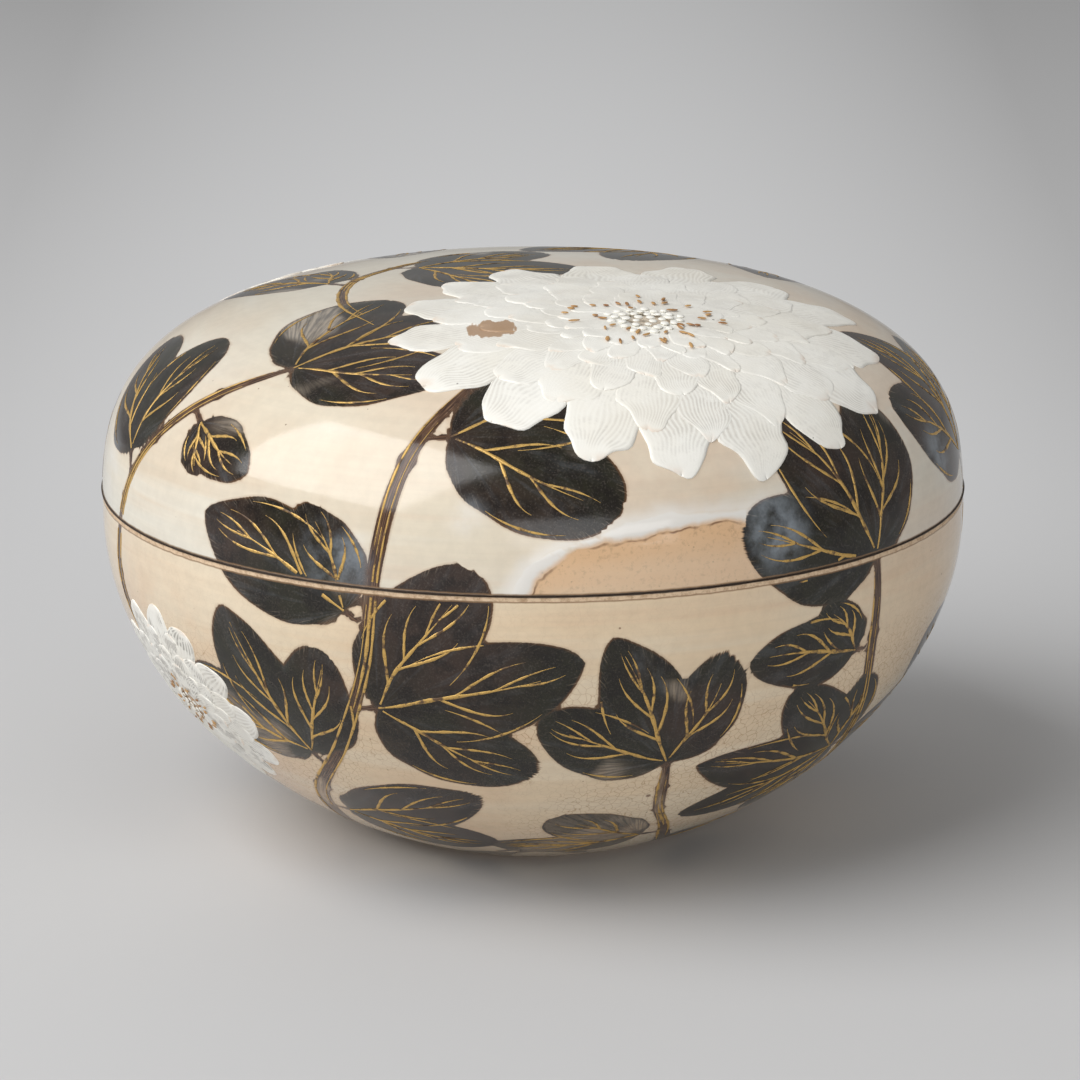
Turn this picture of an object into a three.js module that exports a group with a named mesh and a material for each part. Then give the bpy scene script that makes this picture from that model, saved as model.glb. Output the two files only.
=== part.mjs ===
import * as THREE from "three";
import { mergeVertices } from "three/addons/utils/BufferGeometryUtils.js";

// A round stoneware box with a domed lid, in millimetres, +Z up, standing on z = 0.
// The bowl carries a thin upright collar inside its lip; the lid drops over that collar
// and rests on the flat lip, so that the two outsides meet flush at one dark seam.
// Flowers of thick white slip stand proud of the lid and of the bowl.

// Outside form: one squat swelling curve, rounder below the belly than above it.
const bellyRadius = 110; // widest half-width of the box
const bellyHeight = 80.5; // height of the widest line above the table
const boxHeight = 140; // top of the lid above the table
const seamHeight = 88.6; // where the lid meets the bowl
const footRadius = 42; // where the wall reaches the table
const crownFullness = 3.05; // 2 is an ellipse, more is squarer in the shoulder
const bowlFullness = 1.87;

// Walls, lip and collar.
const lidWall = 4.2; // thickness of the lid at its edge
const crownThickness = 5; // thickness of the lid at its top
const collarThickness = 2.6; // upright collar inside the bowl's lip
const collarHeight = 6.5; // how far the collar stands above the lip
const collarClearance = 0.6; // gap all round between the collar and the lid
const lipBevel = 0.8; // softened outer edges of lip and lid, which make the dark seam line
const collarBevel = 0.7; // softened top edges of the collar
const floorThickness = 6; // clay between the hollow under the foot and the inside

// Foot ring, cut from under the base.
const footRingWidth = 7;
const footRecessDepth = 4;
const footBevel = 1;

// White slip flowers.
const slipClearance = 0.45; // between a flower and the wall that it lies on
const slipThickness = 0.9; // at the middle of the outer petals
const slipEdgeThickness = 0.45; // at the petal tips
const innerPetalRise = 0.5; // the inner round of petals lies on the outer one
const innerPetalShare = 0.58; // how far out the inner round reaches
const petalNotch = 0.13; // how deep the notch between two petal tips is, of the radius
const stamenBossShare = 0.14; // the round boss of stamens in the middle, of the radius
const stamenBossRise = 0.4; // how far the boss stands above the inner petals
const bowlFlowerInset = 36; // from the belly line down to the middle of the flowers on the bowl
const largeFlowerDrop = 2; // from the top of the lid down to the middle of its large flower
const smallFlowerDrop = 19; // the same for its small flower
const petalSteps = 4; // points along the tip of one petal

const turnSteps = 72; // facets round the box
const wallSteps = 14; // facets up the outside of each wall
const insideSteps = 7; // facets up the inside of each wall
const walkStep = 2.5; // longest stride when a flower is laid over the wall
const ringSpacing = 6; // between the rings of points that a flower is laid with

const clay = new THREE.MeshStandardMaterial({ color: 0xe8d3b8, roughness: 0.28, metalness: 0 });
const lidGlaze = new THREE.MeshStandardMaterial({ color: 0xf0dcc4, roughness: 0.22, metalness: 0 });
const whiteSlip = new THREE.MeshStandardMaterial({ color: 0xeeeade, roughness: 0.5, metalness: 0 });

// Half-height of the curve below the belly, so that it passes through the foot's edge at z = 0.
const bowlReach = bellyHeight / (1 - (footRadius / bellyRadius) ** bowlFullness) ** (1 / bowlFullness);
const crownReach = boxHeight - bellyHeight;
const bowlWall = lidWall + collarClearance + collarThickness;
const floorHeight = footRecessDepth + floorThickness;

// A curve of the family |r / radius|^n + |z / reach|^n = 1 about the belly line.
function swell(radius, reach, fullness) {
  return {
    // The point seen from the curve's centre at this angle above the belly line.
    at(angle) {
      const across = Math.abs(Math.cos(angle)) / radius;
      const along = Math.abs(Math.sin(angle)) / reach;
      const size = (across ** fullness + along ** fullness) ** (-1 / fullness);
      return new THREE.Vector2(size * Math.cos(angle), bellyHeight + size * Math.sin(angle));
    },
    radiusAt(height) {
      const share = Math.abs(height - bellyHeight) / reach;
      return radius * Math.max(0, 1 - share ** fullness) ** (1 / fullness);
    },
    angleAt(height) {
      return Math.atan2(height - bellyHeight, this.radiusAt(height));
    },
    // Points from one angle to another, both ends included.
    run(from, to, steps) {
      return Array.from({ length: steps + 1 }, (_, i) => this.at(from + ((to - from) * i) / steps));
    },
  };
}

const crownOutside = swell(bellyRadius, crownReach, crownFullness);
const crownInside = swell(bellyRadius - lidWall, crownReach - crownThickness, crownFullness);
const bowlOutside = swell(bellyRadius, bowlReach, bowlFullness);
const bowlInside = swell(bellyRadius - bowlWall, bellyHeight - floorHeight, bowlFullness);

const point = (r, z) => new THREE.Vector2(r, z);

// Turns a closed half-section, listed anticlockwise, about the box's upright axis.
function turned(profile) {
  const geometry = new THREE.LatheGeometry(profile, turnSteps);
  geometry.rotateX(Math.PI / 2);
  return geometry;
}

function bowlGeometry() {
  const seamRadius = crownOutside.radiusAt(seamHeight);
  const collarOuter = seamRadius - lidWall - collarClearance;
  const collarInner = collarOuter - collarThickness;
  const collarTop = seamHeight + collarHeight;
  const footInner = footRadius - footRingWidth;
  const underside = [
    point(0, footRecessDepth),
    point(footInner - footBevel, footRecessDepth),
    point(footInner, footBevel),
    point(footInner + footBevel, 0),
    point(footRadius - footBevel, 0),
  ];
  const wall = bowlOutside.run(bowlOutside.angleAt(footBevel), 0, wallSteps);
  const lip = [
    point(crownOutside.radiusAt(seamHeight - lipBevel), seamHeight - lipBevel),
    point(seamRadius - lipBevel, seamHeight),
    point(collarOuter, seamHeight),
    point(collarOuter, collarTop - collarBevel),
    point(collarOuter - collarBevel, collarTop),
    point(collarInner + collarBevel, collarTop),
    point(collarInner, collarTop - collarBevel),
    point(collarInner, seamHeight),
  ];
  const inside = bowlInside.run(0, -Math.PI / 2, insideSteps);
  inside[inside.length - 1].x = 0;
  return turned([...underside, ...wall, ...lip, ...inside]);
}

function lidGeometry() {
  const seamRadius = crownOutside.radiusAt(seamHeight);
  const edgeInner = seamRadius - lidWall;
  // The inside leaves the edge straight, past the collar, before it curves over.
  const boreTop = seamHeight + collarHeight + collarClearance;
  const boreRadius = Math.min(edgeInner, crownInside.radiusAt(boreTop));
  const inside = crownInside.run(Math.PI / 2, crownInside.angleAt(boreTop), insideSteps);
  inside[0].x = 0;
  const edge = [
    point(edgeInner, boreTop - (edgeInner - boreRadius)),
    point(edgeInner, seamHeight),
    point(seamRadius - lipBevel, seamHeight),
  ];
  const bevelTop = seamHeight + lipBevel;
  const outside = crownOutside.run(crownOutside.angleAt(bevelTop), Math.PI / 2, wallSteps);
  outside[outside.length - 1].x = 0;
  return turned([...inside, ...edge, ...outside]);
}

// Brings a point near the wall onto the box's outside, and gives the wall's outward normal there.
function ontoWall(p) {
  const rise = p.z - bellyHeight;
  const [reach, n] = rise > 0 ? [crownReach, crownFullness] : [bowlReach, bowlFullness];
  const r = Math.hypot(p.x, p.y);
  const size = ((r / bellyRadius) ** n + (Math.abs(rise) / reach) ** n) ** (-1 / n);
  const onWall = new THREE.Vector3(p.x * size, p.y * size, bellyHeight + rise * size);
  const slopeOut = (r * size / bellyRadius) ** (n - 1) / bellyRadius;
  const slopeUp = (Math.sign(rise) * (Math.abs(rise) * size / reach) ** (n - 1)) / reach;
  const normal = new THREE.Vector3((slopeOut * p.x) / (r || 1), (slopeOut * p.y) / (r || 1), slopeUp);
  return { onWall, normal: normal.normalize() };
}

// Walks over the box's outside from a place, in a heading, for a distance.
function walk(start, heading, distance) {
  const strides = Math.max(1, Math.ceil(distance / walkStep));
  let here = ontoWall(start);
  const way = heading.clone();
  for (let i = 0; i < strides; i++) {
    way.addScaledVector(here.normal, -way.dot(here.normal)).normalize();
    here = ontoWall(here.onWall.clone().addScaledVector(way, distance / strides));
  }
  return here;
}

// A flower of thick slip: an outer round of petals, a raised inner round and a boss of stamens, laid
// over the wall.
function flowerGeometry({ azimuth, height, radius, petals }) {
  const turn = THREE.MathUtils.degToRad(azimuth);
  const wall = height > bellyHeight ? crownOutside : bowlOutside;
  const out = wall.radiusAt(height);
  const middle = new THREE.Vector3(out * Math.cos(turn), out * Math.sin(turn), height);
  const { normal } = ontoWall(middle);
  const sideways = new THREE.Vector3(-Math.sin(turn), Math.cos(turn), 0);
  const upwards = normal.clone().cross(sideways);

  const spokes = petals * petalSteps;
  const rings = Math.ceil(radius / ringSpacing);
  const shares = Array.from({ length: rings }, (_, i) => (i + 1) / rings);
  const petalFoot = innerPetalShare + innerPetalRise / radius;
  const bossFoot = stamenBossShare + stamenBossRise / radius;
  const steps = [stamenBossShare, bossFoot, innerPetalShare, petalFoot];
  const clearOfSteps = (share) => steps.every((step) => Math.abs(share - step) > 0.5 / rings);
  const topShares = [...shares.filter(clearOfSteps), ...steps].sort((a, b) => a - b);
  const riseAt = (share) => {
    if (share === 1) return slipEdgeThickness;
    const petalRise = share <= innerPetalShare ? innerPetalRise : 0;
    return slipThickness + petalRise + (share <= stamenBossShare ? stamenBossRise : 0);
  };

  // How far a ring reaches along one spoke. The edges of both rounds of petals are notched, the inner
  // round half a petal out of step; the rings between them are smoother the nearer they are to the middle.
  const reachOf = (spoke, share) => {
    const innerEdge = share === innerPetalShare || share === petalFoot;
    const step = spoke + (innerEdge ? petalSteps / 2 : 0);
    const acrossPetal = Math.abs(((step % petalSteps) / petalSteps) * 2 - 1);
    return radius * share * (1 - petalNotch * (innerEdge ? 1 : share ** 2) * acrossPetal ** 2);
  };
  const vertices = [];
  const addVertex = (spoke, share, rise) => {
    const angle = (2 * Math.PI * spoke) / spokes;
    const heading = sideways.clone().multiplyScalar(Math.cos(angle));
    heading.addScaledVector(upwards, Math.sin(angle));
    const here = walk(middle, heading, reachOf(spoke, share));
    vertices.push(here.onWall.addScaledVector(here.normal, slipClearance + rise));
    return vertices.length - 1;
  };
  const ring = (share, rise) => Array.from({ length: spokes }, (_, i) => addVertex(i, share, rise));
  const top = topShares.map((share) => ring(share, riseAt(share)));
  const bottom = shares.map((share) => ring(share, 0));
  const topMiddle = addVertex(0, 0, riseAt(0));
  const bottomMiddle = addVertex(0, 0, 0);

  const faces = [];
  const band = (inner, outer) => {
    for (let i = 0; i < spokes; i++) {
      const j = (i + 1) % spokes;
      faces.push(inner[i], outer[i], outer[j], inner[i], outer[j], inner[j]);
    }
  };
  const cap = (centre, rim) => {
    for (let i = 0; i < spokes; i++) faces.push(centre, rim[i], rim[(i + 1) % spokes]);
  };
  cap(topMiddle, top[0]);
  for (let i = 1; i < top.length; i++) band(top[i - 1], top[i]);
  band(top[top.length - 1], bottom[bottom.length - 1]);
  for (let i = bottom.length - 1; i > 0; i--) band(bottom[i], bottom[i - 1]);
  const closing = bottom[0];
  for (let i = 0; i < spokes; i++) faces.push(bottomMiddle, closing[(i + 1) % spokes], closing[i]);

  const geometry = new THREE.BufferGeometry().setFromPoints(vertices);
  geometry.setIndex(faces);
  return mergeVertices(geometry, 1e-4);
}

// Where the flowers lie: azimuth from +X towards +Y in degrees, with the front at 270.
const flowers = {
  lid_flower_large: { azimuth: 302, height: boxHeight - largeFlowerDrop, radius: 66, petals: 16 },
  lid_flower_small: { azimuth: 140, height: boxHeight - smallFlowerDrop, radius: 34, petals: 12 },
  bowl_flower_left: { azimuth: 212, height: bellyHeight - bowlFlowerInset, radius: 30, petals: 12 },
  bowl_flower_back: { azimuth: 58, height: bellyHeight - bowlFlowerInset, radius: 31, petals: 12 },
};

function named(name, geometry, material) {
  const mesh = new THREE.Mesh(geometry, material);
  mesh.name = name;
  return mesh;
}

const lid = new THREE.Group();
lid.add(named("lid", lidGeometry(), lidGlaze));
const bowl = new THREE.Group();
bowl.add(named("bowl", bowlGeometry(), clay));
for (const [name, place] of Object.entries(flowers)) {
  const carrier = name.startsWith("lid") ? lid : bowl;
  carrier.add(named(name, flowerGeometry(place), whiteSlip));
}

const box = new THREE.Group();
box.add(bowl, lid);

export default box;
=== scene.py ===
import math

import bpy
import numpy as np
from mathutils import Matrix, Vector


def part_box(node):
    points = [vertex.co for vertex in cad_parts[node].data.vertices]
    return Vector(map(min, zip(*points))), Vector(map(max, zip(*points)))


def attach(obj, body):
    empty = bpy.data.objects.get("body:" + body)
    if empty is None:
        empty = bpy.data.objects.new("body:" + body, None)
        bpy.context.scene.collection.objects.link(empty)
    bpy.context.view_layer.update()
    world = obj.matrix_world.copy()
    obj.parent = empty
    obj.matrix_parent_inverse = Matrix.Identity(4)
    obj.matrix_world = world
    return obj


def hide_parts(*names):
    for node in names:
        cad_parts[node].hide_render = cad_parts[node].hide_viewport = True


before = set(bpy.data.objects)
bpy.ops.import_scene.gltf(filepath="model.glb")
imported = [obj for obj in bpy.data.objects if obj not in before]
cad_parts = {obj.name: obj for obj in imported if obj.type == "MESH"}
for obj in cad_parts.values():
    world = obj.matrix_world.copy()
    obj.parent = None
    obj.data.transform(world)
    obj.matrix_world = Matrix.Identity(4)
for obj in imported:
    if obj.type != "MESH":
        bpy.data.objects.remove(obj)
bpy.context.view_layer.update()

lidLow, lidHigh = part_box("lid")
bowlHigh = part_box("bowl")[1]

# The outside is one curve |r / radius|^n + |z / reach|^n = 1 about the belly line. Metres.
form = {
    "radius": bowlHigh.x,
    "belly": 0.0805,
    "top": lidHigh.z,
    "seam": lidLow.z,
    "collarTop": bowlHigh.z,
    "footRadius": 0.042,
    "crownFullness": 3.05,
    "bowlFullness": 1.87,
    "lidWall": 0.0042,
    "crownThickness": 0.005,
    "collarThickness": 0.0026,
    "collarClearance": 0.0006,
    "floor": 0.010,
    "footWidth": 0.007,
    "footRecess": 0.004,
    "footRound": 0.0012,
    "footOuterRound": 0.0011,
    "collarRound": 0.0009,
    "collarFillet": 0.0004,  # where the collar stands on the lip
    "collarFoot": 0.002,  # above the seam, where the inner wall runs into the collar
    "lidEdgeRound": 0.0004,
    "lipEdgeRound": 0.0005,
    "boreAbove": 0.0012,  # how far the lid's straight bore reaches above the collar
    "recessRound": 0.0015,  # how far in the foot's recess starts to curve down
    "lidRings": (0.00012, 0.0095),  # depth and pitch of the throwing rings inside
    "bowlRings": (0.00016, 0.0085),
    "recessRings": (0.0002, 0.0042),
    "unevenness": 0.0007,  # how far the thrown wall strays inwards
}
crownReach = form["top"] - form["belly"]
bowlReach = form["belly"] / (1 - (form["footRadius"] / form["radius"]) ** form["bowlFullness"]) ** (
    1 / form["bowlFullness"]
)


# A node's output that reads like a number: each sum or product of it adds a Math node to its tree.
class Field:
    def __init__(self, tree, socket):
        self.tree, self.socket = tree, socket

    def __getitem__(self, output):
        return Field(self.tree, self.socket.node.outputs[output])

    def maths(self, operation, *values):
        return put("ShaderNodeMath", dict(enumerate((self, *values))), operation=operation)

    def __add__(self, other):
        return self.maths("ADD", other)

    def __sub__(self, other):
        return self.maths("SUBTRACT", other)

    def __rsub__(self, other):
        return put("ShaderNodeMath", {0: other, 1: self}, operation="SUBTRACT")

    def __mul__(self, other):
        return self.maths("MULTIPLY", other)

    def __truediv__(self, other):
        return self.maths("DIVIDE", other)


def feed(tree, node, values):
    for key, value in values.items():
        if isinstance(value, Field):
            tree.links.new(value.socket, node.inputs[key])
        else:
            node.inputs[key].default_value = value


# Adds a node to a tree, the one of its inputs unless it's given, and returns the node's first output.
def put(kind, inputs=None, tree=None, **settings):
    inputs = inputs or {}
    tree = tree or next(value.tree for value in inputs.values() if isinstance(value, Field))
    node = tree.nodes.new(kind)
    for key, value in settings.items():
        setattr(node, key, value)
    feed(tree, node, inputs)
    return Field(tree, node.outputs[0])


# A node group. An input is given by its default value or by its kind, an output by its kind.
def newTree(name, kind, inputs, outputs):
    tree = bpy.data.node_groups.new(name, kind)
    for label, value in inputs.items():
        bare = isinstance(value, str)
        socketKind = value if bare else "Int" if isinstance(value, int) else "Float"
        socket = tree.interface.new_socket(label, in_out="INPUT", socket_type="NodeSocket" + socketKind)
        if not bare:
            socket.default_value = value
    for label, socketKind in outputs.items():
        tree.interface.new_socket(label, in_out="OUTPUT", socket_type="NodeSocket" + socketKind)
    given = {socket.name: Field(tree, socket) for socket in tree.nodes.new("NodeGroupInput").outputs}
    return tree, given, tree.nodes.new("NodeGroupOutput")


def geometryTree(name, inputs):
    return newTree(name, "GeometryNodeTree", {**inputs, "Material": "Material"}, {"Geometry": "Geometry"})


# Ends a geometry tree: plain geometry in the material that the tree is given.
def dress(tree, geometry, given, result):
    real = put("GeometryNodeRealizeInstances", {"Geometry": geometry})
    dressed = put("GeometryNodeSetMaterial", {"Geometry": real, "Material": given["Material"]})
    feed(tree, result, {"Geometry": dressed})
    return tree


def pointValue(tree, name, kind="FLOAT"):
    return put("GeometryNodeInputNamedAttribute", {"Name": name}, tree, data_type=kind)["Attribute"]


def inScene(name, data):
    obj = bpy.data.objects.new(name, data)
    bpy.context.scene.collection.objects.link(obj)
    return obj


def meshObject(name, points, edges=(), faces=()):
    mesh = bpy.data.meshes.new(name)
    mesh.from_pydata([tuple(p) for p in points], edges, faces)
    return inScene(name, mesh)


# Stores named values on a mesh's points, one number or three for each.
def setValues(mesh, values):
    for name, column in values.items():
        column = np.asarray(column, np.float32)
        kind, key = ("FLOAT_VECTOR", "vector") if column.ndim == 2 else ("FLOAT", "value")
        mesh.attributes.new(name, kind, "POINT").data.foreach_set(key, column.ravel())


def pointsOf(mesh):
    points = np.zeros(len(mesh.vertices) * 3, np.float32)
    mesh.vertices.foreach_get("co", points)
    return points.reshape(-1, 3).astype(float)


def movePoints(mesh, points):
    mesh.vertices.foreach_set("co", np.asarray(points, np.float32).ravel())
    mesh.update()


# Runs a geometry tree over an object and keeps the plain mesh that comes out.
def grow(obj, tree, values, material):
    modifier = obj.modifiers.new("grow", "NODES")
    modifier.node_group = tree
    keys = {item.name: item.identifier for item in tree.interface.items_tree if item.in_out == "INPUT"}
    for label, value in {**values, "Material": material}.items():
        modifier[keys[label]] = value
    bpy.context.view_layer.update()
    depsgraph = bpy.context.evaluated_depsgraph_get()
    mesh = bpy.data.meshes.new_from_object(obj.evaluated_get(depsgraph), depsgraph=depsgraph)
    mesh.name = obj.name
    obj.modifiers.remove(modifier)
    obj.data = mesh
    if not mesh.materials:
        mesh.materials.append(material)


# Turns a closed mesh's faces outwards and shades it smooth.
def finishMesh(mesh):
    mesh.calc_loop_triangles()
    corners = np.zeros(len(mesh.loop_triangles) * 3, int)
    mesh.loop_triangles.foreach_get("vertices", corners)
    a, b, c = pointsOf(mesh)[corners.reshape(-1, 3)].transpose(1, 0, 2)
    if np.sum(np.cross(a, b) * c) < 0:
        mesh.flip_normals()
    mesh.polygons.foreach_set("use_smooth", [True] * len(mesh.polygons))


def smooth(low, high, value):
    t = np.clip((value - low) / (high - low), 0, 1)
    return t * t * (3 - 2 * t)


def lengths(rows, keep=False):
    return np.linalg.norm(rows, axis=1, keepdims=keep)


def runAlong(path):
    return np.concatenate([[0], np.cumsum(lengths(np.diff(path, axis=0)))])


# The wall: points are brought on to it, flattened round a place on it, and bent back.
def ontoWall(points):
    rise = points[:, 2] - form["belly"]
    above = rise > 0
    reach = np.where(above, crownReach, bowlReach)
    n = np.where(above, form["crownFullness"], form["bowlFullness"])
    r = np.hypot(points[:, 0], points[:, 1])
    size = ((r / form["radius"]) ** n + (np.abs(rise) / reach) ** n) ** (-1 / n)
    on = np.stack([points[:, 0] * size, points[:, 1] * size, form["belly"] + rise * size], 1)
    out = (r * size / form["radius"]) ** (n - 1) / form["radius"] / np.maximum(r, 1e-9)
    up = np.sign(rise) * (np.abs(rise) * size / reach) ** (n - 1) / reach
    normal = np.stack([points[:, 0] * out, points[:, 1] * out, up], 1)
    return on, normal / lengths(normal, True)


# Slow waves left by the potter's hands, inwards only, so that the pot keeps its greatest size.
def unevenAt(points):
    turn = np.arctan2(points[:, 1], points[:, 0])
    z = points[:, 2]
    waves = (
        0.45 * np.sin(2 * turn + 0.9)
        + 0.3 * np.sin(3 * turn - 1.2 + 20 * z)
        + 0.15 * np.sin(5 * turn + 55 * z)
        + 0.1 * np.sin(260 * z + 2 * turn)
    )
    return -form["unevenness"] * (0.56 + 0.44 * waves)


# Points (r, z) of such a curve about the belly line, at angles from the widest place.
def ovalCurve(angles, radius, reach, fullness):
    across, along = np.abs(np.cos(angles)) / radius, np.abs(np.sin(angles)) / reach
    size = (across**fullness + along**fullness) ** (-1 / fullness)
    return np.stack([size * np.cos(angles), form["belly"] + size * np.sin(angles)], 1)


fineAngles = np.linspace(math.pi / 2, math.atan2(-form["belly"], form["footRadius"]), 4000)
fineProfile = ovalCurve(
    fineAngles,
    form["radius"],
    np.where(fineAngles > 0, crownReach, bowlReach),
    np.where(fineAngles > 0, form["crownFullness"], form["bowlFullness"]),
)
fineRun = runAlong(fineProfile)
seamRadius = float(np.interp(-form["seam"], -fineProfile[:, 1], fineProfile[:, 0]))
collarOuter = seamRadius - form["lidWall"] - form["collarClearance"]
collarInner = collarOuter - form["collarThickness"]


# A place by its azimuth, 270 degrees at the front, and the run down the wall from the crown's centre.
def onWallAt(azimuth, run):
    turn = np.radians(azimuth)
    r = np.interp(run, fineRun, fineProfile[:, 0])
    z = np.interp(run, fineRun, fineProfile[:, 1])
    return np.stack([r * np.cos(turn), r * np.sin(turn), z + 0 * turn], -1)


def placeAt(point):
    on, normal = ontoWall(np.array([point], float))
    sideways = np.cross((0, 0, 1), normal[0])
    sideways /= max(np.linalg.norm(sideways), 1e-9)
    upwards = np.cross(normal[0], sideways)
    return {"centre": on[0], "normal": normal[0], "sideways": sideways, "upwards": upwards}


def flatten(points, normals, place):
    away = points - place["centre"]
    turn = np.arccos(np.clip(normals @ place["normal"], -1, 1))
    arc = lengths(away) * np.where(turn > 1e-4, turn / 2 / np.sin(np.maximum(turn, 1e-4) / 2), 1)
    across = away - np.outer(away @ place["normal"], place["normal"])
    across *= (arc / np.maximum(lengths(across), 1e-12))[:, None]
    return np.stack([across @ place["sideways"], across @ place["upwards"]], 1)


# Bends flat points, given round a place, on to the wall, and returns them with the wall's normals there.
def bend(flat, place, steps=10, mends=8):
    flat = np.asarray(flat, float)
    points = np.repeat(place["centre"][None], len(flat), 0)
    normals = np.repeat(place["normal"][None], len(flat), 0)
    for i in range(steps + mends):
        missing = flat[:, :2] / steps if i < steps else flat[:, :2] - flatten(points, normals, place)
        way = missing[:, :1] * place["sideways"] + missing[:, 1:2] * place["upwards"]
        way -= np.sum(way * normals, 1, keepdims=True) * normals
        way *= (lengths(missing) / np.maximum(lengths(way), 1e-12))[:, None]
        points, normals = ontoWall(points + way)
    return points, normals


def raised(points, normals, height):
    return points + normals * (unevenAt(points) + height)[:, None]


# Turned walls. A closed half-section is swung round the upright axis.
def turnedTree():
    tree, given, result = geometryTree("turned wall", {"Section": "Geometry", "Turn Steps": 512})
    section, steps = given["Section"], given["Turn Steps"]
    count = put("GeometryNodeAttributeDomainSize", {"Geometry": section})["Point Count"]
    around = steps + 1
    grid = put("GeometryNodeMeshGrid", {"Vertices X": count, "Vertices Y": around})
    index = put("GeometryNodeInputIndex", tree=tree)
    row = (index / around).maths("FLOOR")
    angle = (index - row * around) * math.tau / steps
    position = put("GeometryNodeInputPosition", tree=tree)
    taken = {"Geometry": section, "Value": position, "Index": row}
    apart = put("ShaderNodeSeparateXYZ", {0: put("GeometryNodeSampleIndex", taken, data_type="FLOAT_VECTOR")})
    x, y = apart["X"] * angle.maths("COSINE"), apart["X"] * angle.maths("SINE")
    swung = put("ShaderNodeCombineXYZ", {"X": x, "Y": y, "Z": apart["Z"]})
    moved = put("GeometryNodeSetPosition", {"Geometry": grid, "Position": swung})
    joined = put("GeometryNodeMergeByDistance", {"Geometry": moved, "Distance": 1e-6})
    return dress(tree, joined, given, result)


def spaced(points, spacing):
    run = runAlong(points)
    at = np.linspace(0, run[-1], max(2, int(round(run[-1] / spacing)) + 1))
    return np.stack([np.interp(at, run, points[:, 0]), np.interp(at, run, points[:, 1])], 1)


def roundCorner(centre, radius, fromAngle, toAngle, steps=4):
    angles = np.radians(np.linspace(fromAngle, toAngle, steps + 1))
    return np.stack([centre[0] + radius * np.cos(angles), centre[1] + radius * np.sin(angles)], 1)


meshing = {
    "outside": 0.00122,  # between the points of a curve
    "inside": 0.0030,
    "curveSteps": 600,
    "recessSteps": 12,
    "turnSteps": 520,
    "onBore": 0.001,  # extra points on straight stretches: from the collar's top
    "onFoot": 0.004,  # from the foot's outside
    "onLip": 0.0025,  # from the wall
    "byCollar": 0.0006,
}


def outsideBetween(high, low):
    inside = (fineProfile[:, 1] <= high) & (fineProfile[:, 1] >= low)
    return spaced(fineProfile[inside], meshing["outside"])


# Throwing rings on an inner curve, none at its centre.
def ringed(curve, depth, pitch):
    rings = depth * np.sin(curve[:, 0] / pitch * math.tau) * smooth(0.004, 0.02, curve[:, 0])
    return np.stack([curve[:, 0], curve[:, 1] + rings], 1)


def lidSection():
    edge, seam = form["lidEdgeRound"], form["seam"]
    boreRadius = seamRadius - form["lidWall"]
    angles = np.linspace(math.pi / 2, 0, meshing["curveSteps"])
    reach = crownReach - form["crownThickness"]
    inner = ovalCurve(angles, form["radius"] - form["lidWall"], reach, form["crownFullness"])
    bore = (inner[:, 0] > boreRadius) | (inner[:, 1] < form["collarTop"] + form["boreAbove"])
    top = ringed(inner[: len(inner) - np.sum(bore)], *form["lidRings"])
    outside = outsideBetween(form["top"], seam + edge)
    outside[0, 0] = top[0, 0] = 0
    return np.concatenate(
        [
            outside,
            roundCorner((seamRadius - edge, seam + edge), edge, 0, -90)[1:],
            roundCorner((boreRadius + edge, seam + edge), edge, -90, -180),
            [[boreRadius, form["collarTop"] - meshing["onBore"]]],
            spaced(top[::-1], meshing["inside"]),
        ]
    )


def bowlSection():
    edge, seam, lip, foot = form["lipEdgeRound"], form["seam"], form["collarRound"], form["footRound"]
    fillet, outer = form["collarFillet"], form["footOuterRound"]
    footInner = form["footRadius"] - form["footWidth"]
    thickness = form["lidWall"] + form["collarClearance"] + form["collarThickness"]
    angles = np.linspace(0, -math.pi / 2, meshing["curveSteps"])
    inner = ovalCurve(angles, form["radius"] - thickness, form["belly"] - form["floor"], form["bowlFullness"])
    inner = ringed(inner, *form["bowlRings"])
    inner[-1, 0] = 0
    recess = np.linspace(0, footInner - form["recessRound"], meshing["recessSteps"])
    depth, pitch = form["recessRings"]
    recessHeight = form["footRecess"] + depth * np.cos(recess / pitch * math.tau)
    return np.concatenate(
        [
            np.stack([recess, recessHeight], 1),
            roundCorner((footInner - foot, form["footRecess"] - foot), foot, 90, 0),
            roundCorner((footInner + foot, foot), foot, 180, 270),
            [[form["footRadius"] - meshing["onFoot"], 0.0]],
            roundCorner((form["footRadius"] - foot, outer), outer, 270, 330),
            outsideBetween(seam - edge, foot)[::-1],
            roundCorner((seamRadius - edge, seam - edge), edge, 0, 90)[1:],
            [[seamRadius - meshing["onLip"], seam], [collarOuter + meshing["byCollar"], seam]],
            roundCorner((collarOuter + fillet, seam + fillet), fillet, 270, 180, 3),
            roundCorner((collarOuter - lip, form["collarTop"] - lip), lip, 0, 90, 5),
            roundCorner((collarInner + lip, form["collarTop"] - lip), lip, 90, 180, 5),
            [[collarInner, seam + form["collarFoot"]]],
            spaced(inner, meshing["inside"]),
        ]
    )


def turned(name, section, material):
    points = [(r, 0, z) for r, z in section]
    obj = meshObject(name, points, [(i, i + 1) for i in range(len(points) - 1)])
    grow(obj, turnedTree(), {"Turn Steps": meshing["turnSteps"]}, material)
    finishMesh(obj.data)
    return obj


print("stage: form ready, seam radius", round(seamRadius * 1000, 1), "mm")


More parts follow.
